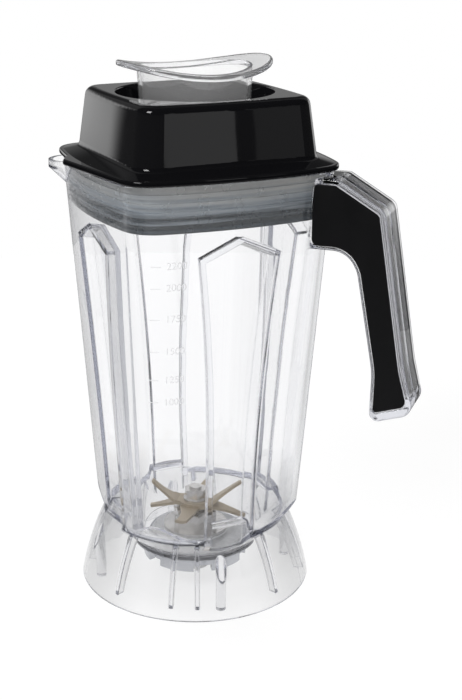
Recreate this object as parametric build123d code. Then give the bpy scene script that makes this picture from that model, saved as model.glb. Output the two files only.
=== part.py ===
from build123d import *
import os
from math import atan, cos, radians, sin, sqrt, tan

# Blender jar: clear container with handle, lid, filler cap and blade unit.
# Z is up, the base plane is z = 0, the spindle is the Z axis.
# +X points to the handle corner, the pouring spout is on the -X corner.
# All sizes are in millimetres.

# Container
rim_height = 278.0          # base plane to the rim
rim_half = 72.5             # axis to the middle of a face, at the rim
foot_height = 55.0          # height at which foot_half is taken
foot_half = 57.5            # axis to the middle of a face, low on the wall
wall = 3.1                  # container wall
rim_round = 1.0             # rounding of the rim's outer edge
corner_radius = 21.0        # outer corner
side_bow = 279.0            # radius of the outward bow of each face
bowl_radius = 73.0          # turned bottom of the container, at its widest
bowl_round = 40.0           # rounding from wall to bottom
bowl_slope = 43.0           # slope of the turned bottom, degrees
boss_radius = 40.3          # flat underside around the blade unit
boss_side = 3.1             # height of the boss side below the turned bottom
floor_height = 30.5         # inside floor
floor_thickness = 5.5       # floor at the blade unit

# Flutes, one pressed into each face
flute_depth = 9.0           # below the middle of the face
flute_gap = 6.3             # lowest edge of the lid's plug and seal to the peaked end below it
flute_peak_rise = 11.0      # peaked end above the widest level
flute_shoulder_half = 24.5  # half width at the shoulder
flute_waist_height = 165.0  # level of the next width
flute_waist_half = 17.8     # half width there
flute_foot_height = 72.0    # level below which the flute is parallel
flute_foot_half = 14.6      # half width there
flute_draft = 3.6           # how far each side leans in over the depth

# Skirt
skirt_radius = 76.0         # at the base plane
skirt_wall = 3.0
skirt_shelf_radius = 55.6   # where the skirt's arc ends in a flat shelf across the flutes
skirt_shelf_height = 56.0
skirt_bulge = 2.5           # outward bulge of the skirt's arc
skirt_edge_round = 1.0      # rounding of the lower edge
rib_count = 8               # main ribs around the skirt
rib_start = 22.5            # angle of the first main rib from +X
side_rib_count = 4          # lesser ribs, each beside a main rib
rib_side_step = 13.5        # angle from a main rib to the rib or post beside it
rib_thickness = 2.2
rib_depth = 5.0
rib_foot = 7.0              # height of the lower end of a rib
post_radius = 3.2
post_place = 63.5           # axis to post
post_foot = 2.5             # height of the lower end of a post

# Spout
spout_reach = 99.0          # axis to the tip
spout_radius = 14.0         # rounding of the tip
spout_root_place = 73.5     # axis to the middle of the root circle
spout_root_radius = 11.0
spout_root_height = 257.0
spout_lip_foot = 268.8      # lower edge of the upright lip
spout_lip_top = 273.6
spout_wall = 2.8

# Handle
handle_width = 31.0         # across the two sides
handle_flange = 2.6         # rim around the grip panels
handle_web = 3.0            # wall between the two pockets
handle_edge_round = 1.3     # rounding along the handle's edges
handle_top = 275.5          # flat top beside the rim
handle_flat_end = 95.0      # where the flat top ends
handle_shoulder_x = 123.5   # outer shoulder
handle_shoulder_z = 258.8
handle_shoulder_round = 7.0
handle_flat_round = 4.0
handle_grip_x = 139.5       # outer edge, low on the grip
handle_grip_z = 163.0
handle_toe_x = 146.2        # lowest outer corner
handle_toe_z = 136.0
handle_heel_x = 119.0       # lowest inner corner
handle_heel_z = 127.2
handle_heel_round = 5.0
handle_toe_round = 8.0
handle_palm_x = 119.6       # inner edge, low on the grip
handle_palm_z = 160.0
handle_inner_x = 108.2      # inner edge, top of the grip
handle_inner_z = 221.0
handle_under = 233.0        # underside beside the container
handle_crook_x = 102.0      # where the underside turns down
handle_grip_round = 60.0    # gentle bends low on the grip
handle_crook_round = 15.0   # rounding under the knuckles
handle_root_start = 68.0    # inner end of the handle, inside the container wall
handle_root_half = 18.5     # half width of the root pad on the container
handle_pad_end = 74.0       # where the root pad starts to narrow
handle_root_end = 79.3      # where the root pad has narrowed to the handle
panel_start = 79.5          # inner end of the grip panels
panel_shift_x = 0.8         # panels set towards the palm side
panel_shift_z = 0.6         # panels set down from the knuckle side
panel_lift = 3.4            # panels' lower ends raised from the handle's lower end
panel_end_round = 4.0       # rounding of the panels' inner corners
panel_thickness = 2.0
panel_inset = 0.7           # panel face below the handle's side
panel_gap = 0.15
panel_round = 0.8           # rounding of the panel's face
panel_ledge = 1.6           # seat of the panel around the pocket
pocket_start = 89.5         # inner end of the open pocket behind the panel

# Lid
lid_seat_gap = 0.2          # lid flange above the rim
flange_half = 74.5          # axis to the middle of a flange edge
flange_corner = 19.0
flange_edge = 3.6           # thickness of the flange edge
flange_round = 1.2          # rounding of the flange's edges
ledge_rise = 3.6            # slope of the ledge, from the edge to the block
block_foot_half = 60.2      # block, at the ledge
block_foot_corner = 14.7
block_top = 320.6
block_top_half = 55.6
block_top_corner = 12.8
block_bow = 620.0
block_round = 5.6           # rounding of the block's top edge
block_fillet = 3.5          # hollow rounding where the block meets the ledge
lid_wall = 2.6
ear_tip = 17.0              # ears: along a face, from its middle towards the spout, to the ear's corner
ear_end = 29.0              # along a face, where the ear meets the edge again
ear_reach = 79.6            # axis to the ear's corner, square to the face
ear_round = 5.0
well_radius = 48.4          # well for the cap, at the top
well_round = 0.9            # rounding of the well's edge
well_floor_radius = 45.5
well_floor = 299.5          # height of the well's floor
well_collar = 13.0          # collar below the well's floor
plug_foot = 251.6           # lower edge of the plug collar
plug_wall = 2.5
seal_thickness = 4.2        # plug collar to the tip of a lip
seal_gap = 0.25             # lip to the container's inner wall
seal_groove = 1.1           # depth between lips
seal_foot = 250.1           # lower edge of the seal
seal_lips = 5
seal_lip_height = 2.4

# Filler cap
cap_mouth_radius = 34.7     # cup, under its flange
cap_foot_radius = 32.3
cap_foot = 284.0            # underside of the cup
cap_wall = 2.3
cap_plate = 330.0           # underside of the saddle flange, at its lowest
cap_plate_thickness = 3.6
cap_edge_round = 1.4        # rounding around the flange
cap_half_length = 48.4      # flange, along its raised ends
cap_half_width = 39.4
cap_end_rise = 7.2          # how far the two ends rise
cap_turn = 45.0             # long axis, from +X, degrees
cap_shoulder = 2.6          # ring that rests on the well's floor
cap_shoulder_height = 2.0
cap_clearance = 0.3         # cup to the hole in the well
cap_seat_gap = 0.05

# Blade unit
housing_hole_gap = 0.2      # stem to the hole in the floor
stem_radius = 15.0
stem_foot = 13.5
bearing_outer = 11.0
bearing_bore = 4.0
bearing_width = 7.0
bearing_ring = 2.2          # thickness of each ring
ball_radius = 1.95
ball_count = 7
ball_play = 0.05
bearing_step = 7.0          # length of the spacer between the bearings
housing_flange_radius = 21.0
housing_flange_height = 2.4
hex_across = 25.0           # hexagon, across flats
hex_top = 45.0
hex_chamfer = 1.2
gasket_thickness = 1.2
gasket_inner = 16.0
shaft_play = 0.06           # shaft in its seal
lip_seal_outer = 7.5
lip_seal_height = 4.0
circlip_thickness = 1.2
circlip_bite = 0.8          # depth of the groove in the housing
circlip_width = 2.2
circlip_opening = 40.0      # degrees
nut_radius = 34.0
nut_height = 9.5
nut_plate = 4.0
nut_rim = 4.0
nut_notches = 6
nut_notch_width = 11.0
nut_notch_depth = 4.5
washer_thickness = 1.5
washer_radius = 31.0
blade_seat = 47.2           # underside of the lower blade
blade_thickness = 1.9
blade_hub_radius = 11.0
blade_bend = 11.6           # axis to the bend line
blade_width = 12.5
blade_hollow = 0.2          # how far one edge is hollowed at half length, 0.5 for a straight edge
bent_tip_width = 4.2        # tips of the arms bent up and down
level_tip_width = 6.6       # tips of the nearly level arms
lower_blade_reach = 34.0
lower_bend_down = 16.0      # degrees
level_bend_up = 3.0         # degrees
upper_blade_reach = 34.5
upper_bend_up = 37.0        # degrees
upper_blade_turn = 11.0     # from the lower blade, degrees
blade_collar = 7.0          # radius of the spacer under the blades
blade_collar_gap = 0.4      # spacer above the housing
blade_nut_across = 13.0
blade_nut_height = 6.5
blade_washer_radius = 8.0
blade_washer_thickness = 1.2
shaft_top = 60.5
socket_radius = 9.6
socket_foot = 3.5
socket_gap = 0.8            # socket to the circlip above it
socket_depth = 6.0
socket_teeth = 8
socket_tooth_outer = 6.8
socket_tooth_inner = 5.4
socket_grip = 4.0           # length of shaft held in the socket

# Values worked out from the sizes above
wall_slope = (rim_half - foot_half) / (rim_height - foot_height)


def face_half(height):
    """Axis to the middle of a container face, outside, at a height."""
    return rim_half - wall_slope * (rim_height - height)


def cup_radius(height):
    """Outside of the filler cap's cup at a height."""
    share = (height - cap_foot) / (cap_plate - cap_foot)
    return cap_foot_radius + share * (cap_mouth_radius - cap_foot_radius)


boss_height = floor_height - floor_thickness
flute_peak = min(plug_foot, seal_foot) - flute_gap
flute_shoulder = flute_peak - flute_peak_rise
handle_half = handle_width / 2
panel_half = handle_half - panel_inset
panel_seat = panel_half - panel_thickness
flange_foot = rim_height + lid_seat_gap
ledge_foot = flange_foot + flange_edge
block_foot = ledge_foot + ledge_rise
plug_inset = wall + seal_gap + seal_thickness
hole_radius = stem_radius + housing_hole_gap
housing_seat = floor_height + gasket_thickness
hex_foot = housing_seat + housing_flange_height
nut_top = boss_height - washer_thickness
nut_foot = nut_top - nut_height
pitch_radius = (bearing_outer + bearing_bore) / 2
groove_radius = ball_radius + ball_play
lower_bearing = stem_foot + 2 * circlip_thickness + circlip_bite
circlip_foot = lower_bearing - circlip_thickness
upper_bearing = lower_bearing + bearing_width + bearing_step
bore_top = upper_bearing + bearing_width
lip_seal_foot = hex_top - lip_seal_height
socket_top = stem_foot - socket_gap
cap_hole = cup_radius(well_floor) + cap_clearance
upper_blade_seat = blade_seat + blade_thickness
blade_washer_seat = upper_blade_seat + blade_thickness
blade_nut_seat = blade_washer_seat + blade_washer_thickness


def around(count, start=0.0):
    """Rotations about Z, evenly spaced."""
    return [Rot(0, 0, start + 360 * place / count) for place in range(count)]


def square_corner(half, corner, bow):
    """Corner of a bowed square on the X axis: where its rounding ends, and its outermost place."""
    side_centre = (bow - half) / sqrt(2)
    corner_centre = sqrt((bow - corner) ** 2 - side_centre ** 2) - side_centre
    reach = bow / (bow - corner)
    along = (corner_centre + side_centre) * reach - side_centre
    across = side_centre * reach - side_centre
    return along, across, corner_centre + corner


def square_edges(half, corner, bow):
    """Corner roundings and bowed sides of a square with its corners on the X and Y axes."""
    along, across, tip = square_corner(half, corner, bow)
    side = ThreePointArc((along, across), (half / sqrt(2), half / sqrt(2)), (across, along))
    rounding = ThreePointArc((along, -across), (tip, 0), (along, across))
    return [turn * rounding for turn in around(4)], [turn * side for turn in around(4)]


def bowed_square(half, corner, bow):
    """Square with its corners on the X and Y axes, bowed sides and round corners."""
    roundings, sides = square_edges(half, corner, bow)
    return make_face(roundings + sides)


def square_loft(*levels):
    """Straight-sided solid through bowed squares, each given as height, half, corner, bow."""
    return loft([Pos(0, 0, z) * bowed_square(half, corner, bow) for z, half, corner, bow in levels], ruled=True)


def container_loft(foot, top, inset):
    """The container's tapered form between two heights, moved in from the outer wall."""
    bow = side_bow - inset
    corner = corner_radius - inset
    return square_loft((foot, face_half(foot) - inset, corner, bow), (top, face_half(top) - inset, corner, bow))


def turned(*points):
    """Solid of revolution about Z from corner points given as radius, height."""
    return revolve(Plane.XZ * make_face(Polyline(*points, close=True)), Axis.Z)


def ring(inner, outer, foot, top):
    """Plain ring about Z."""
    return turned((inner, foot), (outer, foot), (outer, top), (inner, top))


def disc(radius, foot, top):
    """Plain cylinder about Z."""
    return Pos(0, 0, foot) * Cylinder(radius, top - foot, align=(Align.CENTER, Align.CENTER, Align.MIN))


# Container


def turned_bottom(start, inset):
    """Turned form that rounds off the lower end of the container, moved in by a wall.

    The start points run from the axis to the foot of the sloping bottom."""
    widest = bowl_radius - inset
    knee = bottom_cone(widest, inset)
    straight = knee + bowl_round
    above = rim_height + wall
    spread = widest + (above - straight) / 4
    outline = make_face(
        Polyline(*start, (widest, knee), (widest, straight), (spread, above), (0, above), close=True))
    corner = outline.vertices().sort_by_distance((widest, knee))[0]
    return revolve(Plane.XZ * fillet(corner, bowl_round - inset), Axis.Z)


def bottom_cone(radius, inset):
    """Height of the sloping bottom at a radius, moved in by a wall."""
    slope = radians(bowl_slope)
    return boss_height + boss_side + inset / cos(slope) + (radius - boss_radius) * tan(slope)


def outer_bottom():
    """Turned form outside the bottom, with the flat boss under the blade unit."""
    start = ((0, boss_height), (boss_radius, boss_height), (boss_radius, boss_height + boss_side))
    return turned_bottom(start, 0)


def inner_bottom():
    """Turned form inside the bottom, with the flat floor."""
    floor_radius = boss_radius + (floor_height - bottom_cone(boss_radius, wall)) / tan(radians(bowl_slope))
    return turned_bottom(((0, floor_height), (floor_radius, floor_height)), wall)


def flute(grow, outwards, inwards):
    """Solid of one flute in the frame of its face: X along the face, Y up the slope, Z outwards."""
    roof_angle = atan((flute_peak - flute_shoulder) / flute_shoulder_half)
    sections = []
    for level, inset in ((outwards, -grow), (-inwards, flute_draft - grow)):
        shoulder = flute_shoulder_half - inset
        waist = flute_waist_half - inset
        foot = flute_foot_half - inset
        peak_height = flute_peak - inset / cos(roof_angle)
        shoulder_height = peak_height - shoulder * tan(roof_angle)
        right = ThreePointArc((foot, flute_foot_height), (waist, flute_waist_height), (shoulder, shoulder_height))
        left = ThreePointArc((-shoulder, shoulder_height), (-waist, flute_waist_height), (-foot, flute_foot_height))
        roof = Polyline((shoulder, shoulder_height), (0, peak_height), (-shoulder, shoulder_height))
        base = Polyline((-foot, flute_foot_height), (-foot, 0), (foot, 0), (foot, flute_foot_height))
        sections.append(Pos(0, 0, level) * make_face([*base.edges(), right, *roof.edges(), left]))
    return loft(sections, ruled=True)


def on_faces(piece):
    """Copies of a piece, each set on one sloping face of the container."""
    face = Plane(origin=(face_half(0), 0, 0), x_dir=(0, 1, 0), z_dir=(1, 0, -wall_slope))
    return [turn * face.location * piece for turn in around(4, 45)]


def skirt_dome(inset, foot):
    """Everything under the skirt's outer surface, moved in by a wall, above a height."""
    edge = (skirt_radius - inset, 0)
    shelf = (skirt_shelf_radius - inset, skirt_shelf_height - inset)
    arc = SagittaArc(edge, shelf, -skirt_bulge)
    rest = Polyline(shelf, (0, skirt_shelf_height - inset), (0, 0), edge)
    dome = revolve(Plane.XZ * make_face([arc, *rest.edges()]), Axis.Z)
    if foot > 0:
        dome -= disc(skirt_radius, 0, foot)
    return dome


def skirt():
    """Bell skirt with its inner ribs and posts."""
    shell = skirt_dome(0, 0) - skirt_dome(skirt_wall, 0)
    shell = fillet(shell.edges().group_by(Axis.Z)[0], skirt_edge_round)
    rib_zone = skirt_dome(skirt_wall / 2, rib_foot) - skirt_dome(skirt_wall + rib_depth, rib_foot)
    plate = Pos(skirt_radius / 2, 0, skirt_shelf_height / 2) * Box(skirt_radius, rib_thickness, skirt_shelf_height)
    for turn in around(rib_count, rib_start) + around(side_rib_count, rib_start - rib_side_step):
        shell += (turn * plate) & rib_zone
    post_room = skirt_dome(skirt_wall / 2, post_foot)
    post = Pos(post_place, 0, post_foot) * Cylinder(
        post_radius, skirt_shelf_height, align=(Align.CENTER, Align.CENTER, Align.MIN))
    for turn in around(side_rib_count, rib_start + rib_side_step):
        shell += (turn * post) & post_room
    return shell


def spout(inset, top):
    """Oblique cone from the corner to the pouring lip, moved in by a wall."""
    tip_place = spout_reach - spout_radius
    root = Pos(-spout_root_place, 0, spout_root_height + inset) * Circle(spout_root_radius - inset)
    flare = Pos(-tip_place, 0, spout_lip_foot + inset / 2) * Circle(spout_radius - inset)
    lip = Pos(-tip_place, 0, top) * Circle(spout_radius - inset)
    return loft([root, flare], ruled=True) + loft([flare, lip], ruled=True)


def handle_outline(start, lift=0.0):
    """Side view of the handle, from a place near the axis to the open lower end, which may be raised."""
    corners = (
        (start, handle_under, 0),
        (start, handle_top, 0),
        (handle_flat_end, handle_top, handle_flat_round),
        (handle_shoulder_x, handle_shoulder_z, handle_shoulder_round),
        (handle_grip_x, handle_grip_z, handle_grip_round),
        (handle_toe_x, handle_toe_z + lift, handle_toe_round),
        (handle_heel_x, handle_heel_z + lift, handle_heel_round),
        (handle_palm_x, handle_palm_z, handle_grip_round),
        (handle_inner_x, handle_inner_z, handle_crook_round),
        (handle_crook_x, handle_under, handle_crook_round),
    )
    outline = make_face(Polyline(*[(x, z) for x, z, _ in corners], close=True))
    for x, z, radius in corners:
        if radius > 0:
            outline = fillet(outline.vertices().sort_by_distance((x, z))[0], radius)
    return outline


def side_slab(outline, near, far):
    """A side-view outline made solid between two distances from the symmetry plane, on the -Y side."""
    return extrude(Plane.XZ.offset(near) * outline, far - near)


def both_sides(piece):
    """A piece and its mirror image across the symmetry plane."""
    return piece + mirror(piece, about=Plane.XZ)


def grip_outline(inset, start, end_round):
    """The handle's side view inside its rim, from a place along X outwards, with its inner corners rounded."""
    inner = Pos(-panel_shift_x, -panel_shift_z) * offset(handle_outline(handle_root_start, panel_lift), -inset)
    keep = Pos(start, 0) * Rectangle(handle_toe_x, 2 * rim_height, align=(Align.MIN, Align.CENTER))
    outline = inner & keep
    return fillet(outline.vertices().group_by(Axis.X)[0], end_round)


def handle():
    """Handle frame: rim, middle web, a stepped pocket on each side and the root pad."""
    solid = side_slab(handle_outline(handle_root_start), -handle_half, handle_half)
    sides = solid.faces().filter_by(Axis.Y)
    solid = fillet(sides.edges(), handle_edge_round)
    pocket_outline = grip_outline(handle_flange + panel_ledge, pocket_start, panel_end_round - panel_ledge)
    pocket = side_slab(pocket_outline, handle_web / 2, handle_half)
    solid -= both_sides(pocket)
    pad = make_face(Polyline(
        (handle_root_start, handle_root_half), (handle_pad_end, handle_root_half), (handle_root_end, handle_half),
        (handle_root_end, -handle_half), (handle_pad_end, -handle_root_half),
        (handle_root_start, -handle_root_half), close=True))
    return solid + extrude(Pos(0, 0, handle_under) * pad, handle_top - handle_under)


def panel_seats():
    """Shallow seats of the two grip panels."""
    return both_sides(side_slab(grip_outline(handle_flange, panel_start, panel_end_round), panel_seat, handle_half))


def jar_body():
    """The clear moulding: container, flutes, spout, skirt and handle frame."""
    outside = container_loft(0, rim_height, 0)
    outside = fillet(outside.faces().sort_by(Axis.Z)[-1].edges(), rim_round) & outer_bottom()
    inside = container_loft(0, rim_height + wall, wall) & inner_bottom()
    for piece in on_faces(flute(0, wall, flute_depth)):
        outside -= piece
    for piece in on_faces(flute(wall, wall, flute_depth + wall)):
        inside -= piece
    body = outside + skirt() + handle() + spout(0, spout_lip_top)
    body -= inside + spout(spout_wall, rim_height + wall) + panel_seats()
    return body - disc(hole_radius, 0, floor_height + wall)


def grip_panel(side):
    """Black panel in the pocket on one side of the handle, -1 for the front and 1 for the rear."""
    outline = grip_outline(handle_flange + panel_gap, panel_start + panel_gap, panel_end_round - panel_gap)
    panel = side_slab(outline, panel_seat, panel_half)
    panel = fillet(panel.faces().sort_by(Axis.Y)[0].edges(), panel_round)
    return panel if side < 0 else mirror(panel, about=Plane.XZ)


# Lid and seal


def beside_spout(place, reach):
    """Plan position on a face beside the spout: along it towards the spout, and square to it."""
    return (-reach - place) / sqrt(2), (place - reach) / sqrt(2)


def flange_reach(place):
    """Axis to the flange's plain edge, square to a face, at a place along the face."""
    return sqrt(side_bow ** 2 - place ** 2) - side_bow + flange_half


def flange_plan():
    """Flange in plan: a bowed square with an ear on each face beside the spout."""
    along, across, _ = square_corner(flange_half, flange_corner, side_bow)
    roundings, sides = square_edges(flange_half, flange_corner, side_bow)
    between = (ear_end + (along - across) / sqrt(2)) / 2
    tip = beside_spout(ear_tip, ear_reach)
    end = beside_spout(ear_end, flange_reach(ear_end))
    eared = [
        Line((-across, -along), tip), Line(tip, end),
        ThreePointArc(end, beside_spout(between, flange_reach(between)), (-along, -across))]
    plan = make_face(roundings + [sides[0], sides[3]] + eared + [mirror(edge, about=Plane.XZ) for edge in eared])
    for x, y in (tip, end):
        for side in (y, -y):
            plan = fillet(plan.vertices().sort_by_distance((x, side))[0], ear_round)
    return plan


def flange():
    """Thin flange of the lid with its two ears and rounded edges."""
    plate = extrude(Pos(0, 0, flange_foot) * flange_plan(), flange_edge)
    return fillet(plate.edges().filter_by(Plane.XY), flange_round)


def block_level(height, inset):
    """Lid block at a height, moved in by a wall, as a level of a loft."""
    share = (height - block_foot) / (block_top - block_foot)
    half = block_foot_half + share * (block_top_half - block_foot_half)
    corner = block_foot_corner + share * (block_top_corner - block_foot_corner)
    return (height, half - inset, corner - inset, block_bow - inset)


def lid_block(foot, top, inset):
    """Lid block between two heights, moved in by a wall, with its top edge rounded."""
    block = square_loft(block_level(foot, inset), block_level(top, inset))
    return fillet(block.faces().sort_by(Axis.Z)[-1].edges(), block_round - inset)


def plug_loft(foot, top, inset):
    """Plug collar's form between two heights, moved in from its outside."""
    return container_loft(foot, top, plug_inset + inset)


def lid_shell():
    """Gloss lid: block, ledge, flange with ears, well for the cap and plug collar, hollow below."""
    ledge_half = flange_half - 2 * flange_round
    ledge_top = block_foot + ledge_rise
    top_half = 2 * block_foot_half - ledge_half
    ledge = square_loft(
        (ledge_foot, ledge_half, flange_corner, side_bow), (ledge_top, top_half, flange_corner, side_bow))
    solid = ledge + lid_block(ledge_foot, block_top, 0)
    foot = solid.edges().filter_by_position(Axis.Z, (ledge_foot + block_foot) / 2, ledge_top)
    solid = fillet(foot, block_fillet)
    solid += flange() + plug_loft(plug_foot, ledge_foot, 0)
    hollow = lid_block(flange_foot - flange_round, block_top - lid_wall, lid_wall)
    hollow += plug_loft(plug_foot, flange_foot, plug_wall)
    hollow -= turned(
        (0, well_floor - lid_wall), (well_floor_radius + lid_wall, well_floor - lid_wall),
        (well_radius + lid_wall, block_top), (0, block_top))
    hollow -= disc(cap_hole + lid_wall, well_floor - well_collar, well_floor)
    solid -= hollow
    solid -= turned((0, well_floor), (well_floor_radius, well_floor), (well_radius, block_top), (0, block_top))
    solid = fillet(solid.edges().filter_by(GeomType.CIRCLE).sort_by(Axis.Z)[-1], well_round)
    return solid - disc(cap_hole, plug_foot, well_floor)


def lid_seal():
    """Soft ring around the plug collar, with lips towards the container wall."""
    core = wall + seal_gap
    ring_form = container_loft(seal_foot, flange_foot, core + seal_groove)
    pitch = (flange_foot - seal_foot - seal_lip_height) / seal_lips
    for lip in range(seal_lips):
        lip_foot = seal_foot + lip * pitch
        ring_form += container_loft(lip_foot, lip_foot + seal_lip_height, core)
    ring_form -= plug_loft(plug_foot, flange_foot, 0)
    return ring_form - plug_loft(seal_foot, plug_foot, plug_wall)


# Filler cap


def cap_cup(inset, foot, top):
    """Tapered cup form of the cap between two heights, moved in by a wall."""
    return turned((0, foot), (cup_radius(foot) - inset, foot), (cup_radius(top) - inset, top), (0, top))


def above_saddle(height):
    """Everything above a saddle that is lowest at a height and rises towards the long ends."""
    saddle_radius = (cap_half_length ** 2 + cap_end_rise ** 2) / (2 * cap_end_rise)
    return Pos(0, 0, height + saddle_radius) * Rot(90, 0, 0) * Cylinder(saddle_radius, 4 * cap_half_width)


def filler_cap():
    """Clear cup with a saddle flange and a ring that rests on the well's floor."""
    cap_top = cap_plate + cap_plate_thickness
    end_top = cap_top + cap_end_rise
    plate = Pos(0, 0, cap_plate) * extrude(Ellipse(cap_half_length, cap_half_width), end_top - cap_plate)
    plate = (plate & above_saddle(cap_plate)) - above_saddle(cap_top)
    plate = fillet(plate.edges().filter_by(GeomType.LINE, reverse=True), cap_edge_round)
    cup = cap_cup(0, cap_foot, end_top) - above_saddle(cap_top)
    shoulder = disc(cup_radius(well_floor) + cap_shoulder, well_floor + cap_seat_gap,
                    well_floor + cap_seat_gap + cap_shoulder_height)
    solid = plate + cup + shoulder - cap_cup(cap_wall, cap_foot + cap_wall, end_top)
    return Rot(0, 0, cap_turn) * solid


# Blade unit


def hexagon(across, foot, top):
    """Hexagonal prism about Z."""
    return extrude(Pos(0, 0, foot) * RegularPolygon(across / 2, 6, major_radius=False), top - foot)


def bearing_housing():
    """Steel hexagon, flange and stem, bored for two bearings and a lip seal."""
    crown = turned(
        (0, hex_foot), (hex_across, hex_foot), (hex_across, hex_top - hex_chamfer - hex_across / 4),
        (hex_across / 2 - hex_chamfer, hex_top), (0, hex_top))
    solid = hexagon(hex_across, hex_foot, hex_top) & crown
    solid += disc(housing_flange_radius, housing_seat, hex_foot)
    solid += disc(stem_radius, stem_foot, housing_seat)
    solid -= disc(bearing_outer, stem_foot, bore_top)
    solid -= disc(bearing_bore + bearing_ring, bore_top, lip_seal_foot)
    solid -= disc(lip_seal_outer, lip_seal_foot, hex_top)
    return solid - disc(bearing_outer + circlip_bite, circlip_foot, lower_bearing)


def housing_gasket():
    """Ring between the housing's flange and the floor."""
    return ring(gasket_inner, housing_flange_radius, floor_height, housing_seat)


def shaft_seal():
    """Lip seal around the shaft, flush with the top of the housing."""
    return ring(bearing_bore + shaft_play, lip_seal_outer, lip_seal_foot, hex_top)


def housing_circlip():
    """Snap ring that holds the lower bearing in the housing."""
    solid = ring(bearing_outer + circlip_bite - circlip_width, bearing_outer + circlip_bite, circlip_foot, lower_bearing)
    half_gap = bearing_outer * tan(radians(circlip_opening / 2))
    gap = Pos(bearing_outer, 0, circlip_foot) * Box(bearing_outer, 2 * half_gap, 2 * bearing_width)
    return solid - gap


def ball_groove(foot):
    """Track of the balls in a bearing that starts at a height."""
    return Pos(0, 0, foot + bearing_width / 2) * Torus(pitch_radius, groove_radius)


def bearing_outer_ring(foot):
    """Outer ring of a ball bearing."""
    return ring(bearing_outer - bearing_ring, bearing_outer, foot, foot + bearing_width) - ball_groove(foot)


def bearing_inner_ring(foot):
    """Inner ring of a ball bearing."""
    return ring(bearing_bore, bearing_bore + bearing_ring, foot, foot + bearing_width) - ball_groove(foot)


def bearing_balls(foot):
    """The balls of a bearing, one group of separate solids."""
    ball = Pos(pitch_radius, 0, foot + bearing_width / 2) * Sphere(ball_radius)
    return Compound(children=[turn * ball for turn in around(ball_count)])


def bearing_spacer():
    """Sleeve on the shaft between the two inner rings."""
    return ring(bearing_bore, bearing_bore + bearing_ring, lower_bearing + bearing_width, upper_bearing)


def retaining_nut():
    """Ring nut on the housing's stem, with notches in its rim."""
    solid = turned(
        (stem_radius, nut_foot), (stem_radius + nut_rim, nut_foot), (stem_radius + nut_rim, nut_top - nut_plate),
        (nut_radius - nut_rim, nut_top - nut_plate), (nut_radius - nut_rim, nut_foot), (nut_radius, nut_foot),
        (nut_radius, nut_top), (stem_radius, nut_top))
    notch = Pos(nut_radius, 0, nut_foot) * Box(2 * nut_radius, nut_notch_width, 2 * nut_notch_depth)
    rim_only = ring(nut_radius - nut_rim, nut_radius, nut_foot, nut_top)
    for turn in around(nut_notches):
        solid -= (turn * notch) & rim_only
    return solid


def nut_washer():
    """Ring between the nut and the underside of the floor."""
    return ring(gasket_inner, washer_radius, nut_top, boss_height)


def drive_shaft():
    """Spindle from the socket to the blade nut."""
    return disc(bearing_bore, socket_top - socket_grip, shaft_top)


def drive_socket():
    """Toothed socket on the lower end of the spindle."""
    solid = disc(socket_radius, socket_foot, socket_top)
    solid -= disc(bearing_bore, socket_top - socket_grip, socket_top)
    corners = []
    for tooth in range(2 * socket_teeth):
        reach = socket_tooth_outer if tooth % 2 == 0 else socket_tooth_inner
        angle = radians(180 * tooth / socket_teeth)
        corners.append((reach * cos(angle), reach * sin(angle)))
    star = make_face(Polyline(*corners, close=True))
    return solid - extrude(Pos(0, 0, socket_foot) * star, socket_depth)


def blade_spacer():
    """Collar on the shaft between the housing's top and the lower blade."""
    return ring(bearing_bore, blade_collar, hex_top + blade_collar_gap, blade_seat)


def blade_arm(reach, bend, tip_width):
    """One arm of a blade along +X: flat root, round bend, and a wing with one edge hollowed."""
    half = blade_width / 2
    middle = blade_thickness / 2
    length = reach - blade_bend
    shoulder = half - tip_width
    waist = shoulder - blade_hollow * (blade_width - tip_width)
    root = Pos(blade_bend / 2, 0, middle) * Box(blade_bend, blade_width, blade_thickness)
    fold = Rot(90, 0, 0) * Cylinder(middle, blade_width)
    straight = Polyline((0, -half), (0, half), (length, half), (length, shoulder))
    hollow = ThreePointArc((length, shoulder), (length / 2, waist), (0, -half))
    outline = make_face([*straight.edges(), hollow])
    outline = fillet(outline.vertices().sort_by_distance((length, half))[0], tip_width / 2)
    wing = Rot(0, -bend, 0) * extrude(Pos(0, 0, -middle) * outline, blade_thickness)
    return root + Pos(blade_bend, 0, middle) * (fold + wing)


def blade(seat, turn, *arms):
    """Stamped blade of several arms around a hub with a hole, arms given as angle, reach, bend, tip width."""
    solid = disc(blade_hub_radius, 0, blade_thickness)
    for angle, reach, bend, tip_width in arms:
        solid += Rot(0, 0, angle) * blade_arm(reach, bend, tip_width)
    solid -= disc(bearing_bore, 0, blade_thickness)
    return Rot(0, 0, turn) * Pos(0, 0, seat) * solid


def blade_lower():
    """Cross with two arms bent down and two nearly level."""
    return blade(
        blade_seat, 0,
        (0, lower_blade_reach, -lower_bend_down, bent_tip_width),
        (180, lower_blade_reach, -lower_bend_down, bent_tip_width),
        (90, lower_blade_reach, level_bend_up, level_tip_width),
        (270, lower_blade_reach, level_bend_up, level_tip_width))


def blade_upper():
    """Pair of arms bent up."""
    return blade(
        upper_blade_seat, upper_blade_turn,
        (0, upper_blade_reach, upper_bend_up, bent_tip_width),
        (180, upper_blade_reach, upper_bend_up, bent_tip_width))


def blade_washer():
    """Plain washer on the upper blade."""
    return ring(bearing_bore, blade_washer_radius, blade_washer_seat, blade_nut_seat)


def blade_nut():
    """Hexagon nut on the end of the spindle."""
    return hexagon(blade_nut_across, blade_nut_seat, blade_nut_seat + blade_nut_height) - disc(
        bearing_bore, blade_nut_seat, blade_nut_seat + blade_nut_height)


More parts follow.
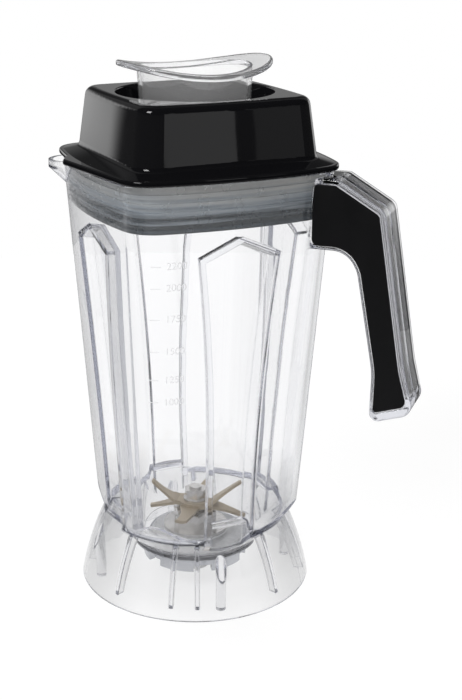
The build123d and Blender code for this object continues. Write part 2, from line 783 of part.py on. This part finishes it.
parts = {
    "jar_body": jar_body(),
    "grip_panel_front": grip_panel(-1),
    "grip_panel_rear": grip_panel(1),
    "lid_shell": lid_shell(),
    "lid_seal": lid_seal(),
    "filler_cap": filler_cap(),
    "bearing_housing": bearing_housing(),
    "housing_gasket": housing_gasket(),
    "shaft_seal": shaft_seal(),
    "housing_circlip": housing_circlip(),
    "upper_bearing_outer_ring": bearing_outer_ring(upper_bearing),
    "upper_bearing_inner_ring": bearing_inner_ring(upper_bearing),
    "upper_bearing_balls": bearing_balls(upper_bearing),
    "lower_bearing_outer_ring": bearing_outer_ring(lower_bearing),
    "lower_bearing_inner_ring": bearing_inner_ring(lower_bearing),
    "lower_bearing_balls": bearing_balls(lower_bearing),
    "bearing_spacer": bearing_spacer(),
    "retaining_nut": retaining_nut(),
    "nut_washer": nut_washer(),
    "drive_shaft": drive_shaft(),
    "drive_socket": drive_socket(),
    "blade_spacer": blade_spacer(),
    "blade_lower": blade_lower(),
    "blade_upper": blade_upper(),
    "blade_washer": blade_washer(),
    "blade_nut": blade_nut(),
}

os.makedirs("parts", exist_ok=True)
for name, solid in parts.items():
    export_step(solid, f"parts/{name}.step")
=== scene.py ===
import math

import bpy
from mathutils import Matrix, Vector


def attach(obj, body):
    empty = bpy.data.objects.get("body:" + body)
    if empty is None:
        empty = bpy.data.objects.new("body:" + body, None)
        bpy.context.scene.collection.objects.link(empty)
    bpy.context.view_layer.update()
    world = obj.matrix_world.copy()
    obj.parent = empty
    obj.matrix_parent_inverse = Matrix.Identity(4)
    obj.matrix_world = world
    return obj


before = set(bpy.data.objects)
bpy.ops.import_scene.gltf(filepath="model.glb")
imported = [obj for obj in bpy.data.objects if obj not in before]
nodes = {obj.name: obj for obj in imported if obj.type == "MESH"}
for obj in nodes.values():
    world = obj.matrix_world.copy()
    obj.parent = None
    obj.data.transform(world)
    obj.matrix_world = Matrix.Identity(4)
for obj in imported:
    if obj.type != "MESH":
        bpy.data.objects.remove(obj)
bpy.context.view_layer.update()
scene = bpy.context.scene

# The container's wall, in metres, as the marks and the corners' normals follow it
RIM_HEIGHT = 0.278
RIM_HALF = 0.0725
FOOT_HEIGHT = 0.055
FOOT_HALF = 0.0575
WALL_SLOPE = (RIM_HALF - FOOT_HALF) / (RIM_HEIGHT - FOOT_HEIGHT)
SIDE_BOW = 0.279
CORNER_RADIUS = 0.021
WALL = 0.0031

# Scale marks, in metres; starts are lengths along the wall from the middle of its face
MARKS = ((2200, 0.2316), (2000, 0.2185), (1750, 0.1994), (1500, 0.1792), (1250, 0.1612), (1000, 0.1468))
PRINT_LIFT = 0.00006
NUMBER_SIZE = 0.0062
NUMBER_START = -0.0468
TICK_LENGTH = 0.006
TICK_THICKNESS = 0.0005
TICK_START = -0.0560
TICK_STEPS = 8

CLEAR_TINT = (0.76, 0.77, 0.82, 1)

# Studio, in metres
FLOOR_RADIUS = 0.85
LIT_POINT = (0.0, 0.0, 0.2)
CARD_POINT = (0.04, -0.04, 0.305)
CAMERA_PLACE = (0.2910, -0.7502, 0.4285)
CAMERA_PITCH = math.radians(18.77)

# Direction in which the camera looks, level with the floor, and the direction to its right
LOOK = Vector((-0.3616, 0.9323, 0.0)).normalized()
SIDE = LOOK.cross(Vector((0.0, 0.0, 1.0)))


def node_of(tree, kind, **values):
    """New shader node with its attributes set."""
    made = tree.nodes.new(kind)
    for name, value in values.items():
        setattr(made, name, value)
    return made


def link(tree, source, output, target, socket):
    tree.links.new(source.outputs[output], target.inputs[socket])


def new_material(name, **values):
    """Principled material with plain values on its sockets."""
    made = bpy.data.materials.new(name)
    made.use_nodes = True
    shader = made.node_tree.nodes["Principled BSDF"]
    for socket, value in values.items():
        shader.inputs[socket.replace("_", " ")].default_value = value
    return made, made.node_tree, shader


def object_noise(tree, scale, detail=2.0, roughness=0.5, stretch=(1.0, 1.0, 1.0)):
    """Noise in the object's own coordinates, stretched along its axes."""
    place = node_of(tree, "ShaderNodeTexCoord")
    mapping = node_of(tree, "ShaderNodeMapping")
    mapping.inputs["Scale"].default_value = stretch
    noise = node_of(tree, "ShaderNodeTexNoise")
    noise.inputs["Scale"].default_value = scale
    noise.inputs["Detail"].default_value = detail
    noise.inputs["Roughness"].default_value = roughness
    link(tree, place, "Object", mapping, "Vector")
    link(tree, mapping, "Vector", noise, "Vector")
    return noise


def ranged(tree, source, output, low, high, start=0.3, end=0.7):
    """Map Range node from an output to a range of values."""
    made = node_of(tree, "ShaderNodeMapRange")
    made.inputs["From Min"].default_value = start
    made.inputs["From Max"].default_value = end
    made.inputs["To Min"].default_value = low
    made.inputs["To Max"].default_value = high
    link(tree, source, output, made, "Value")
    return made


def bumped(tree, shader, source, output, strength, distance):
    """Bump from a texture on the shader's normal."""
    bump = node_of(tree, "ShaderNodeBump")
    bump.inputs["Strength"].default_value = strength
    bump.inputs["Distance"].default_value = distance
    link(tree, source, output, bump, "Height")
    link(tree, bump, "Normal", shader, "Normal")
    return bump


def smooth_share(tree, value, low, high, first, last):
    """Smooth change from one level to another as a value goes from low to high."""
    share = node_of(tree, "ShaderNodeMapRange", interpolation_type="SMOOTHSTEP")
    share.inputs["From Min"].default_value = low
    share.inputs["From Max"].default_value = high
    share.inputs["To Min"].default_value = first
    share.inputs["To Max"].default_value = last
    tree.links.new(value, share.inputs["Value"])
    return share.outputs["Result"]


def maths(tree, operation, first, second):
    """Math node on two outputs or plain numbers."""
    made = node_of(tree, "ShaderNodeMath", operation=operation)
    for socket, value in enumerate((first, second)):
        if isinstance(value, float):
            made.inputs[socket].default_value = value
        else:
            tree.links.new(value, made.inputs[socket])
    return made.outputs[0]


def product(tree, first, *others):
    """Product of several outputs."""
    for other in others:
        first = maths(tree, "MULTIPLY", first, other)
    return first


def face_half(height):
    """Distance from the spindle to the middle of each outer face at a height."""
    return RIM_HALF - WALL_SLOPE * (RIM_HEIGHT - height)


def corner_centre(height):
    """Distance from the spindle to the centre of each corner's arc at a height."""
    side_centre = (SIDE_BOW - face_half(height)) / math.sqrt(2)
    return math.sqrt((SIDE_BOW - CORNER_RADIUS) ** 2 - side_centre ** 2) - side_centre


def corner_normals(tree, usual):
    """Normals of the container's rounded corners from their arcs, and the usual ones elsewhere."""
    place = node_of(tree, "ShaderNodeTexCoord")
    split = node_of(tree, "ShaderNodeSeparateXYZ")
    link(tree, place, "Object", split, "Vector")
    x = split.outputs["X"]
    y = split.outputs["Y"]
    size_x = maths(tree, "ABSOLUTE", x, 0.0)
    size_y = maths(tree, "ABSOLUTE", y, 0.0)
    along_x = maths(tree, "GREATER_THAN", size_x, size_y)
    along_y = maths(tree, "SUBTRACT", 1.0, along_x)
    foot = corner_centre(0.0)
    top = corner_centre(RIM_HEIGHT)
    centre = ranged(tree, split, "Z", foot, top, 0.0, RIM_HEIGHT).outputs["Result"]
    centre_x = product(tree, maths(tree, "SIGN", x, 0.0), centre, along_x)
    centre_y = product(tree, maths(tree, "SIGN", y, 0.0), centre, along_y)
    outwards = maths(tree, "SUBTRACT", maths(tree, "MAXIMUM", size_x, size_y), centre)
    level = node_of(tree, "ShaderNodeCombineXYZ")
    tree.links.new(maths(tree, "SUBTRACT", x, centre_x), level.inputs["X"])
    tree.links.new(maths(tree, "SUBTRACT", y, centre_y), level.inputs["Y"])
    radius = node_of(tree, "ShaderNodeVectorMath", operation="LENGTH")
    link(tree, level, "Vector", radius, 0)
    lean = node_of(tree, "ShaderNodeCombineXYZ")
    tree.links.new(maths(tree, "MULTIPLY", outwards, (foot - top) / RIM_HEIGHT), lean.inputs["Z"])
    leaning = node_of(tree, "ShaderNodeVectorMath", operation="ADD")
    link(tree, level, "Vector", leaning, 0)
    link(tree, lean, "Vector", leaning, 1)
    unit = node_of(tree, "ShaderNodeVectorMath", operation="NORMALIZE")
    link(tree, leaning, "Vector", unit, 0)
    surface = node_of(tree, "ShaderNodeNewGeometry")
    facing = node_of(tree, "ShaderNodeVectorMath", operation="DOT_PRODUCT")
    link(tree, surface, "Normal", facing, 0)
    link(tree, unit, "Vector", facing, 1)
    turned = node_of(tree, "ShaderNodeVectorMath", operation="SCALE")
    link(tree, unit, "Vector", turned, 0)
    tree.links.new(maths(tree, "SIGN", facing.outputs["Value"], 0.0), turned.inputs["Scale"])
    past_outer = maths(tree, "SUBTRACT", radius.outputs["Value"], CORNER_RADIUS)
    past_inner = maths(tree, "SUBTRACT", radius.outputs["Value"], CORNER_RADIUS - WALL)
    off_outer = maths(tree, "ABSOLUTE", past_outer, 0.0)
    off_inner = maths(tree, "ABSOLUTE", past_inner, 0.0)
    on_arc = smooth_share(tree, maths(tree, "MINIMUM", off_outer, off_inner), 0.0003, 0.0006, 1.0, 0.0)
    cosine = maths(tree, "DIVIDE", outwards, radius.outputs["Value"])
    in_corner = smooth_share(tree, cosine, 0.79, 0.84, 0.0, 1.0)
    alike = maths(tree, "ABSOLUTE", facing.outputs["Value"], 0.0)
    same_way = smooth_share(tree, alike, 0.95, 0.98, 0.0, 1.0)
    mix = node_of(tree, "ShaderNodeMix", data_type="VECTOR")
    tree.links.new(product(tree, on_arc, in_corner, same_way), mix.inputs[0])
    link(tree, usual, "Normal", mix, 4)
    link(tree, turned, "Vector", mix, 5)
    smooth = node_of(tree, "ShaderNodeVectorMath", operation="NORMALIZE")
    tree.links.new(mix.outputs[1], smooth.inputs[0])
    return smooth


def clear_plastic(name, tint, density, waviness, edge_radius, clarity=1.0, corners=False):
    """Moulded clear plastic, a little wavy, with rounded edges, a grey tint in its depth, and painted
    shade that greys it towards the bottom.
    """
    made, tree, shader = new_material(
        name, Base_Color=(1, 1, 1, 1), Roughness=0.0, IOR=1.57, Transmission_Weight=clarity)
    waves = object_noise(tree, 40.0, 1.0, 0.4, (1.0, 1.0, 0.35))
    wavy = bumped(tree, shader, waves, "Fac", waviness, 0.002)
    edges = node_of(tree, "ShaderNodeBevel", samples=6)
    edges.inputs["Radius"].default_value = edge_radius
    if corners:
        link(tree, corner_normals(tree, edges), "Vector", wavy, "Normal")
    else:
        link(tree, edges, "Normal", wavy, "Normal")
    smears = object_noise(tree, 90.0, 3.0, 0.6)
    link(tree, ranged(tree, smears, "Fac", 0.0, 0.03), "Result", shader, "Roughness")
    place = node_of(tree, "ShaderNodeTexCoord")
    split = node_of(tree, "ShaderNodeSeparateXYZ")
    link(tree, place, "Object", split, "Vector")
    # Painted shade: the base colour greys from 1.0 above 75 mm height to 0.91 below 45 mm, on the skirt
    painted_skirt_shade = ranged(tree, split, "Z", 0.91, 1.0, 0.045, 0.075)
    link(tree, painted_skirt_shade, "Result", shader, "Base Color")
    absorb = node_of(tree, "ShaderNodeVolumeAbsorption")
    absorb.inputs["Color"].default_value = tint
    absorb.inputs["Density"].default_value = density
    link(tree, absorb, "Volume", tree.nodes["Material Output"], "Volume")
    return made


def gloss_black():
    """Injection-moulded gloss black with faint handling marks."""
    made, tree, shader = new_material(
        "lid_gloss_black", Base_Color=(0.006, 0.006, 0.007, 1), Roughness=0.03, IOR=1.5)
    smears = object_noise(tree, 40.0, 4.0, 0.6)
    link(tree, ranged(tree, smears, "Fac", 0.015, 0.06), "Result", shader, "Roughness")
    waves = object_noise(tree, 30.0, 1.0)
    bumped(tree, shader, waves, "Fac", 0.012, 0.002)
    return made


def satin_black():
    """Fine-grained satin black of the grip panels."""
    made, tree, shader = new_material(
        "grip_satin_black", Base_Color=(0.004, 0.004, 0.005, 1), Roughness=0.42, IOR=1.38)
    grain = object_noise(tree, 1800.0, 2.0, 0.6)
    bumped(tree, shader, grain, "Fac", 0.25, 0.0002)
    patches = object_noise(tree, 60.0, 3.0)
    link(tree, ranged(tree, patches, "Fac", 0.36, 0.5), "Result", shader, "Roughness")
    return made


def soft_seal():
    """Translucent grey-blue silicone, its colour painted light and shade in bands: lighter towards the
    top as painted light where the lid's shadow falls, darker towards the bottom, and crossed by painted
    reflection streaks.
    """
    made, tree, shader = new_material(
        "seal_silicone", Base_Color=(0.4, 0.43, 0.46, 1), Roughness=0.25, IOR=1.41,
        Transmission_Weight=0.5)
    place = node_of(tree, "ShaderNodeTexCoord")
    split = node_of(tree, "ShaderNodeSeparateXYZ")
    link(tree, place, "Object", split, "Vector")
    # Painted reflections: fine level streaks that shift the bands up and down
    painted_reflection_streaks = object_noise(tree, 1.0, 3.0, 0.55, (14.0, 14.0, 420.0))
    drift = node_of(tree, "ShaderNodeMath", operation="MULTIPLY_ADD")
    drift.inputs[1].default_value = 0.034
    link(tree, painted_reflection_streaks, "Fac", drift, 0)
    link(tree, split, "Z", drift, 2)
    # Painted light and shade by height: nearly black low down, grey-blue in the middle, near white at the
    # top
    ramp = node_of(tree, "ShaderNodeValToRGB")
    height = node_of(tree, "ShaderNodeMapRange")
    height.inputs["From Min"].default_value = 0.267
    height.inputs["From Max"].default_value = 0.295
    link(tree, drift, 0, height, "Value")
    painted_band_stops = ramp.color_ramp
    painted_band_stops.elements[0].color = (0.06, 0.08, 0.1, 1)
    painted_band_stops.elements[0].position = 0.16
    painted_band_stops.elements[1].color = (0.88, 0.88, 0.86, 1)
    painted_light_middle_stop = painted_band_stops.elements.new(0.5)
    painted_light_middle_stop.color = (0.54, 0.61, 0.68, 1)
    link(tree, height, "Result", ramp, "Fac")
    link(tree, ramp, "Color", shader, "Base Color")
    cloud = object_noise(tree, 120.0, 3.0)
    link(tree, ranged(tree, cloud, "Fac", 0.18, 0.3), "Result", shader, "Roughness")
    return made


def rubber():
    """Pale grey rubber of gaskets and washers, a little cloudy."""
    made, tree, shader = new_material(
        "gasket_rubber", Base_Color=(0.64, 0.65, 0.67, 1), Roughness=0.6)
    grain = object_noise(tree, 900.0, 2.0)
    bumped(tree, shader, grain, "Fac", 0.2, 0.0003)
    cloud = object_noise(tree, 140.0, 3.0)
    ramp = node_of(tree, "ShaderNodeValToRGB")
    ramp.color_ramp.elements[0].color = (0.58, 0.59, 0.61, 1)
    ramp.color_ramp.elements[1].color = (0.7, 0.71, 0.73, 1)
    link(tree, cloud, "Fac", ramp, "Fac")
    link(tree, ramp, "Color", shader, "Base Color")
    return made


def turned_metal(name, colour, roughness, rings, depth, metallic=1.0):
    """Metal with fine turning rings about the spindle."""
    made, tree, shader = new_material(
        name, Base_Color=colour, Metallic=metallic, Roughness=roughness)
    place = node_of(tree, "ShaderNodeTexCoord")
    wave = node_of(tree, "ShaderNodeTexWave", wave_type="RINGS", rings_direction="Z")
    wave.inputs["Scale"].default_value = rings
    wave.inputs["Distortion"].default_value = 0.6
    wave.inputs["Detail"].default_value = 2.0
    link(tree, place, "Object", wave, "Vector")
    bumped(tree, shader, wave, "Fac", depth, 0.0002)
    patches = object_noise(tree, 150.0, 3.0)
    worn = ranged(tree, patches, "Fac", roughness - 0.06, roughness + 0.08)
    link(tree, worn, "Result", shader, "Roughness")
    return made


def coated_blade():
    """Stamped blades with a warm coating, lightly brushed."""
    made, tree, shader = new_material(
        "blade_coating", Base_Color=(0.36, 0.30, 0.22, 1), Metallic=0.5, Roughness=0.36)
    brush = object_noise(tree, 260.0, 3.0, 0.6, (1.0, 6.0, 6.0))
    bumped(tree, shader, brush, "Fac", 0.12, 0.0003)
    link(tree, ranged(tree, brush, "Fac", 0.28, 0.46), "Result", shader, "Roughness")
    return made


def print_white():
    """Thin white print on the wall, which lets some light through."""
    made, tree, shader = new_material(
        "scale_print", Base_Color=(0.95, 0.95, 0.96, 1), Roughness=0.6, IOR=1.1, Transmission_Weight=0.55)
    wear = object_noise(tree, 700.0, 3.0)
    link(tree, ranged(tree, wear, "Fac", 0.52, 0.68), "Result", shader, "Roughness")
    return made


clear = clear_plastic("jar_clear", CLEAR_TINT, 36.0, 0.015, 0.0015, corners=True)
cap_clear = clear_plastic("cap_clear", CLEAR_TINT, 22.0, 0.012, 0.0007, clarity=0.92)
steel = turned_metal("steel_polished", (0.56, 0.55, 0.54, 1), 0.2, 900.0, 0.05, 0.85)
bearing = turned_metal("bearing_steel", (0.7, 0.7, 0.72, 1), 0.1, 1200.0, 0.03)
machined = turned_metal("nut_machined", (0.52, 0.53, 0.56, 1), 0.2, 420.0, 0.12, 0.95)
socket_metal = turned_metal("socket_metal", (0.52, 0.52, 0.52, 1), 0.32, 600.0, 0.1)
grey_rubber = rubber()
grip = satin_black()

finishes = {
    "jar_body": clear,
    "filler_cap": cap_clear,
    "grip_panel_front": grip,
    "grip_panel_rear": grip,
    "lid_shell": gloss_black(),
    "lid_seal": soft_seal(),
    "bearing_housing": steel,
    "housing_gasket": grey_rubber,
    "shaft_seal": grey_rubber,
    "housing_circlip": steel,
    "bearing_spacer": steel,
    "retaining_nut": machined,
    "nut_washer": grey_rubber,
    "drive_shaft": steel,
    "drive_socket": socket_metal,
    "blade_spacer": steel,
    "blade_washer": steel,
    "blade_nut": steel,
}
blades = coated_blade()
for name in ("blade_lower", "blade_upper"):
    finishes[name] = blades
for place in ("upper", "lower"):
    for piece in ("outer_ring", "inner_ring", "balls"):
        finishes[f"{place}_bearing_{piece}"] = bearing

for name, obj in nodes.items():
    obj.data.materials.clear()
    obj.data.materials.append(finishes[name])

# Light passes the clear pieces, so what is inside is lit as it is in a thin clear wall
for name in ("jar_body", "filler_cap"):
    nodes[name].visible_shadow = False
    nodes[name].visible_diffuse = False


# Scale marks


def wall_point(along, height, lift):
    """Point on the outer face beside the handle, at a length along the section from its middle."""
    half = face_half(height)
    outwards = Vector((math.sqrt(0.5), -math.sqrt(0.5), 0.0))
    sideways = Vector((math.sqrt(0.5), math.sqrt(0.5), 0.0))
    corner = corner_centre(height) / math.sqrt(2)
    end_angle = math.asin(corner / (SIDE_BOW - CORNER_RADIUS))
    angle = abs(along) / SIDE_BOW
    radius = SIDE_BOW
    centre = Vector((half - SIDE_BOW, 0.0))
    if angle > end_angle:
        angle = end_angle + (abs(along) - end_angle * SIDE_BOW) / CORNER_RADIUS
        radius = CORNER_RADIUS
        centre = Vector((corner, corner))
    reach = centre.x + (radius + lift) * math.cos(angle)
    aside = centre.y + (radius + lift) * math.sin(angle)
    return outwards * reach + sideways * math.copysign(aside, along) + Vector((0, 0, height))


def mark_mesh(name, flat_mesh, along, height):
    """A flat mesh in X and Y laid on the wall, its origin at a place on the face."""
    for vertex in flat_mesh.vertices:
        vertex.co = wall_point(along + vertex.co.x, height + vertex.co.y, PRINT_LIFT)
    flat_mesh.update()
    made = bpy.data.objects.new(name, flat_mesh)
    scene.collection.objects.link(made)
    return made


def number(name, text, size, along, height):
    """Printed number, centred on a height."""
    curve = bpy.data.curves.new(name, "FONT")
    curve.body = text
    curve.size = size
    curve.align_y = "CENTER"
    holder = bpy.data.objects.new(name + "_curve", curve)
    scene.collection.objects.link(holder)
    bpy.context.view_layer.update()
    graph = bpy.context.evaluated_depsgraph_get()
    flat = bpy.data.meshes.new_from_object(holder.evaluated_get(graph))
    bpy.data.objects.remove(holder)
    return mark_mesh(name, flat, along, height)


def tick(name, length, thickness, along, height):
    """Printed line along the wall."""
    flat = bpy.data.meshes.new(name)
    points = []
    for step in range(TICK_STEPS + 1):
        x = length * step / TICK_STEPS
        points += [(x, -thickness / 2, 0), (x, thickness / 2, 0)]
    faces = [(2 * i, 2 * i + 2, 2 * i + 3, 2 * i + 1) for i in range(TICK_STEPS)]
    flat.from_pydata(points, [], faces)
    return mark_mesh(name, flat, along, height)


printed = print_white()
pieces = []
for value, height in MARKS:
    pieces.append(number(f"scale_number_{value}", str(value), NUMBER_SIZE, NUMBER_START, height))
    pieces.append(tick(f"scale_tick_{value}", TICK_LENGTH, TICK_THICKNESS, TICK_START, height))
for piece in pieces:
    piece.data.materials.append(printed)
    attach(piece, "jar")


# Floor, light and camera


def ray_is(tree, lights, name, otherwise, then):
    """Mix of two values by a Light Path output."""
    mix = node_of(tree, "ShaderNodeMix", data_type="FLOAT")
    link(tree, lights, name, mix, "Factor")
    for socket, value in ((2, otherwise), (3, then)):
        if isinstance(value, float):
            mix.inputs[socket].default_value = value
        else:
            tree.links.new(value, mix.inputs[socket])
    return mix.outputs[0]


def white_floor():
    """Pale floor that keeps a soft shadow and meets a white background.

    It is dim far out in reflections, and greyer to the sides through clear plastic."""
    made = bpy.data.materials.new("floor_pale")
    made.use_nodes = True
    tree = made.node_tree
    tree.nodes.clear()
    rays = node_of(tree, "ShaderNodeLightPath")
    matte = node_of(tree, "ShaderNodeBsdfDiffuse")
    matte.inputs["Color"].default_value = (0.3, 0.3, 0.3, 1)
    place = node_of(tree, "ShaderNodeTexCoord")
    away = node_of(tree, "ShaderNodeVectorMath", operation="LENGTH")
    link(tree, place, "Object", away, 0)
    pool = smooth_share(tree, away.outputs["Value"], 0.08, 0.22, 0.75, 0.0)
    outwards = node_of(tree, "ShaderNodeVectorMath", operation="NORMALIZE")
    link(tree, place, "Object", outwards, 0)
    across = node_of(tree, "ShaderNodeVectorMath", operation="DOT_PRODUCT")
    across.inputs[1].default_value = SIDE
    link(tree, outwards, "Vector", across, 0)
    far = smooth_share(tree, away.outputs["Value"], 0.1, 0.4, 0.0, 1.0)
    left = smooth_share(tree, across.outputs["Value"], -0.8, -0.3, 0.45, 0.0)
    right = smooth_share(tree, across.outputs["Value"], 0.45, 0.95, 0.0, 0.35)
    shade = product(tree, far, maths(tree, "ADD", left, right))
    beside = node_of(tree, "ShaderNodeVectorMath", operation="DOT_PRODUCT")
    beside.inputs[1].default_value = SIDE
    link(tree, place, "Object", beside, 0)
    beside_far = maths(tree, "ABSOLUTE", beside.outputs["Value"], 0.0)
    near = smooth_share(tree, away.outputs["Value"], 0.12, 0.24, 1.0, 0.0)
    near_shade = product(tree, near, smooth_share(tree, beside_far, 0.03, 0.08, 0.0, 0.35))
    strip = maths(tree, "SUBTRACT", 0.8, maths(tree, "MAXIMUM", shade, near_shade))
    glow = node_of(tree, "ShaderNodeEmission")
    level = ray_is(tree, rays, "Is Glossy Ray", 0.0, pool)
    level = ray_is(tree, rays, "Is Transmission Ray", level, strip)
    level = ray_is(tree, rays, "Is Camera Ray", level, 0.75)
    tree.links.new(level, glow.inputs["Strength"])
    both = node_of(tree, "ShaderNodeAddShader")
    tree.links.new(matte.outputs[0], both.inputs[0])
    tree.links.new(glow.outputs[0], both.inputs[1])
    output = node_of(tree, "ShaderNodeOutputMaterial")
    tree.links.new(both.outputs[0], output.inputs["Surface"])
    return made


def level_turn(tree, direction):
    """Cosine between the level direction of a ray and a given direction."""
    place = node_of(tree, "ShaderNodeTexCoord")
    flat = node_of(tree, "ShaderNodeVectorMath", operation="MULTIPLY")
    flat.inputs[1].default_value = (1, 1, 0)
    link(tree, place, "Generated", flat, 0)
    unit = node_of(tree, "ShaderNodeVectorMath", operation="NORMALIZE")
    link(tree, flat, "Vector", unit, 0)
    dot = node_of(tree, "ShaderNodeVectorMath", operation="DOT_PRODUCT")
    dot.inputs[1].default_value = direction
    link(tree, unit, "Vector", dot, 0)
    return dot.outputs["Value"]


def studio_world():
    """White round about, greyer to the sides, and a dim room with a white backdrop for reflections."""
    world = bpy.data.worlds.new("studio")
    scene.world = world
    world.use_nodes = True
    tree = world.node_tree
    glow = tree.nodes["Background"]
    glow.inputs["Color"].default_value = (1, 1, 1, 1)
    rays = node_of(tree, "ShaderNodeLightPath")
    aside = level_turn(tree, SIDE)
    left = smooth_share(tree, aside, -0.8, -0.3, 0.6, 1.05)
    right = smooth_share(tree, aside, 0.45, 0.95, 1.0, 0.65)
    through = product(tree, left, right)
    ahead = level_turn(tree, LOOK)
    place = node_of(tree, "ShaderNodeTexCoord")
    split = node_of(tree, "ShaderNodeSeparateXYZ")
    link(tree, place, "Generated", split, "Vector")
    rise = split.outputs["Z"]
    backdrop = smooth_share(tree, ahead, 0.62, 0.69, 0.05, 1.3)
    dim_middle = smooth_share(tree, ahead, 0.87, 0.93, 1.0, 0.25)
    dim_above = smooth_share(tree, rise, 0.15, 0.32, 1.0, 0.12)
    dark_below = smooth_share(tree, rise, -0.2, -0.06, 0.0, 1.0)
    mirrored = product(tree, backdrop, dim_middle, dim_above, dark_below)
    level = ray_is(tree, rays, "Is Glossy Ray", 0.6, mirrored)
    level = ray_is(tree, rays, "Is Transmission Ray", level, through)
    level = ray_is(tree, rays, "Is Camera Ray", level, 1.0)
    tree.links.new(level, glow.inputs["Strength"])


def soft_box(name, place, target, width, height, power):
    """Area lamp that looks at a point and stays out of the picture."""
    lamp = bpy.data.lights.new(name, "AREA")
    lamp.shape = "RECTANGLE"
    lamp.size = width
    lamp.size_y = height
    lamp.energy = power
    holder = bpy.data.objects.new(name, lamp)
    scene.collection.objects.link(holder)
    holder.location = place
    holder.rotation_euler = (Vector(target) - Vector(place)).to_track_quat("-Z", "Y").to_euler()
    holder.visible_camera = False
    holder.visible_transmission = False
    return holder


bpy.ops.mesh.primitive_circle_add(vertices=96, radius=FLOOR_RADIUS, fill_type="NGON")
floor = bpy.context.object
floor.name = "floor"
floor.data.materials.append(white_floor())

studio_world()
soft_box("key", (-0.55, -1.25, 1.35), LIT_POINT, 0.6, 0.6, 11.0)
soft_box("card_right", (1.12, -0.57, 0.43), CARD_POINT, 0.27, 0.6, 0.3)
soft_box("card_handle", (1.22, -0.28, 0.43), CARD_POINT, 0.2, 0.6, 0.07)
rim = soft_box("rim", (-0.9, 1.1, 0.9), LIT_POINT, 0.8, 0.5, 6.0)
rim.visible_glossy = False

camera_data = bpy.data.cameras.new("camera")
camera_data.lens = 67.9
camera_data.sensor_width = 36.0
camera_data.shift_x = 0.0515
camera = bpy.data.objects.new("camera", camera_data)
scene.collection.objects.link(camera)
aim = LOOK * math.cos(CAMERA_PITCH) - Vector((0, 0, math.sin(CAMERA_PITCH)))
camera.location = CAMERA_PLACE
camera.rotation_euler = aim.to_track_quat("-Z", "Y").to_euler()
scene.camera = camera
scene.view_settings.view_transform = "Standard"

# Light runs far inside the clear walls before it comes out
scene.cycles.max_bounces = 40
scene.cycles.transmission_bounces = 32
scene.cycles.glossy_bounces = 24
